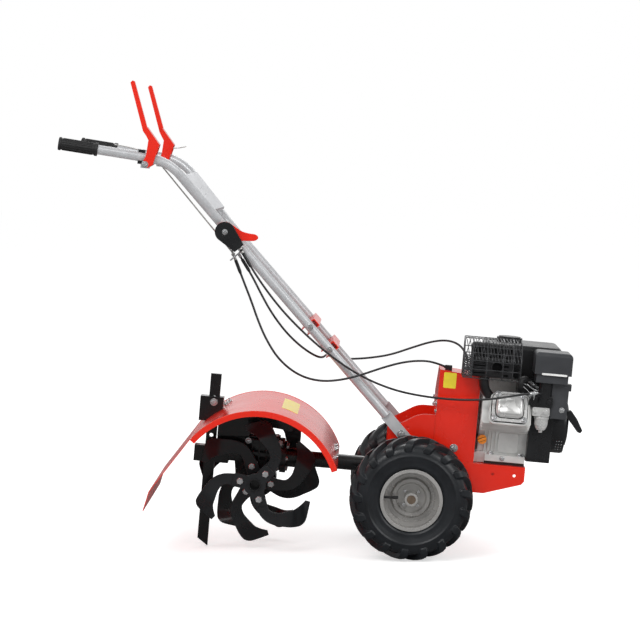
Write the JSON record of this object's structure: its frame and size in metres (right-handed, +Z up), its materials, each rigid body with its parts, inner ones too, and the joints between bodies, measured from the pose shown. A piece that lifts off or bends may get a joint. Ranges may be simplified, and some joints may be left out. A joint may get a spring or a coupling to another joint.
{
  "type": "rotary tiller",
  "caption": "Walk-behind rotary tiller: petrol engine in front, pneumatic drive wheels, raised handlebars, hooded tine rotor behind and a depth stake.",
  "frame": {"origin": "on the floor under the middle of the machine's length and width, measured without the cables", "axes": "+X towards the engine (forward), +Y to the machine's left, +Z up; the machine stands parked, nose down by 5 degrees on its wheels and stake"},
  "size_m": [1.3966, 0.517, 1.271],
  "materials": {
    "tyre_rubber": "matt",
    "galvanised_rim": "zinc plated",
    "steel": "bare",
    "red_paint": "gloss",
    "black_paint": "satin",
    "bare_tube": "satin",
    "cast_aluminium": "cast",
    "black_plastic": "matt",
    "rubber": "matt",
    "light_plate": "satin",
    "cable_sheath": "matt",
    "orange_plastic": "gloss"
  },
  "bodies": {
    "chassis": {"air_cleaner": "black_plastic", "bar_brace_lower": "red_paint", "bar_brace_upper": "red_paint", "bar_plate": "light_plate", "belt_cover": "red_paint", "cable_grommets": "rubber", "cable_stop": "steel", "carburettor": "cast_aluminium", "clutch_cable": "cable_sheath", "control_panel": "black_plastic", "control_rod": "steel", "crankcase": "cast_aluminium", "cylinder_head": "cast_aluminium", "dipstick": "orange_plastic", "drive_cable": "cable_sheath", "drive_tube": "black_paint", "engine_deck": "red_paint", "engine_spacer": "rubber", "fan_shroud": "black_plastic", "frame_cross": "black_paint", "fuel_cap": "black_plastic", "fuel_tank": "black_plastic", "gearbox": "cast_aluminium", "grip_left": "rubber", "grip_right": "rubber", "handlebar_left": "bare_tube", "handlebar_right": "bare_tube", "hood": "red_paint", "lever_left": "red_paint", "lever_right": "red_paint", "muffler": "black_paint", "muffler_guard": "black_paint", "rear_flap": "red_paint", "recoil_cover": "black_plastic", "side_plate_left": "red_paint", "side_plate_right": "red_paint", "stake_arm": "black_paint", "stake_guide": "black_paint", "starter_grip": "black_plastic", "throttle_cable": "cable_sheath", "throttle_housing": "black_plastic", "throttle_lever": "red_paint", "tine_gearbox": "black_paint", "valve_cover": "cast_aluminium"},
    "wheel_right": {"tyre_right": "tyre_rubber", "rim_right": "galvanised_rim", "axle_shaft_right": "steel"},
    "wheel_left": {"tyre_left": "tyre_rubber", "rim_left": "galvanised_rim", "axle_shaft_left": "steel"},
    "tine_rotor": {"rotor_shaft": "black_paint", "tine_hub_left": "black_paint", "tine_hub_right": "black_paint", "tine_set_1": "black_paint", "tine_set_2": "black_paint", "tine_set_3": "black_paint", "tine_set_4": "black_paint"},
    "stake": {"depth_stake": "black_paint"}
  },
  "joints": [
    {"name": "wheel_right_spin", "type": "hinge", "parent": "chassis", "child": "wheel_right", "pos_m": [0.2328, -0.196, 0.165], "axis": [0, 1, 0], "continuous": true},
    {"name": "wheel_left_spin", "type": "hinge", "parent": "chassis", "child": "wheel_left", "pos_m": [0.2328, 0.196, 0.165], "axis": [0, 1, 0], "continuous": true},
    {"name": "tine_rotor_spin", "type": "hinge", "parent": "chassis", "child": "tine_rotor", "pos_m": [-0.18647, 0, 0.19164], "axis": [0, 1, 0], "continuous": true},
    {"name": "stake_slide", "type": "slide", "parent": "chassis", "child": "stake", "axis": [0.0872, 0, 0.9962], "range_m": [-0.04, 0.16]}
  ]
}
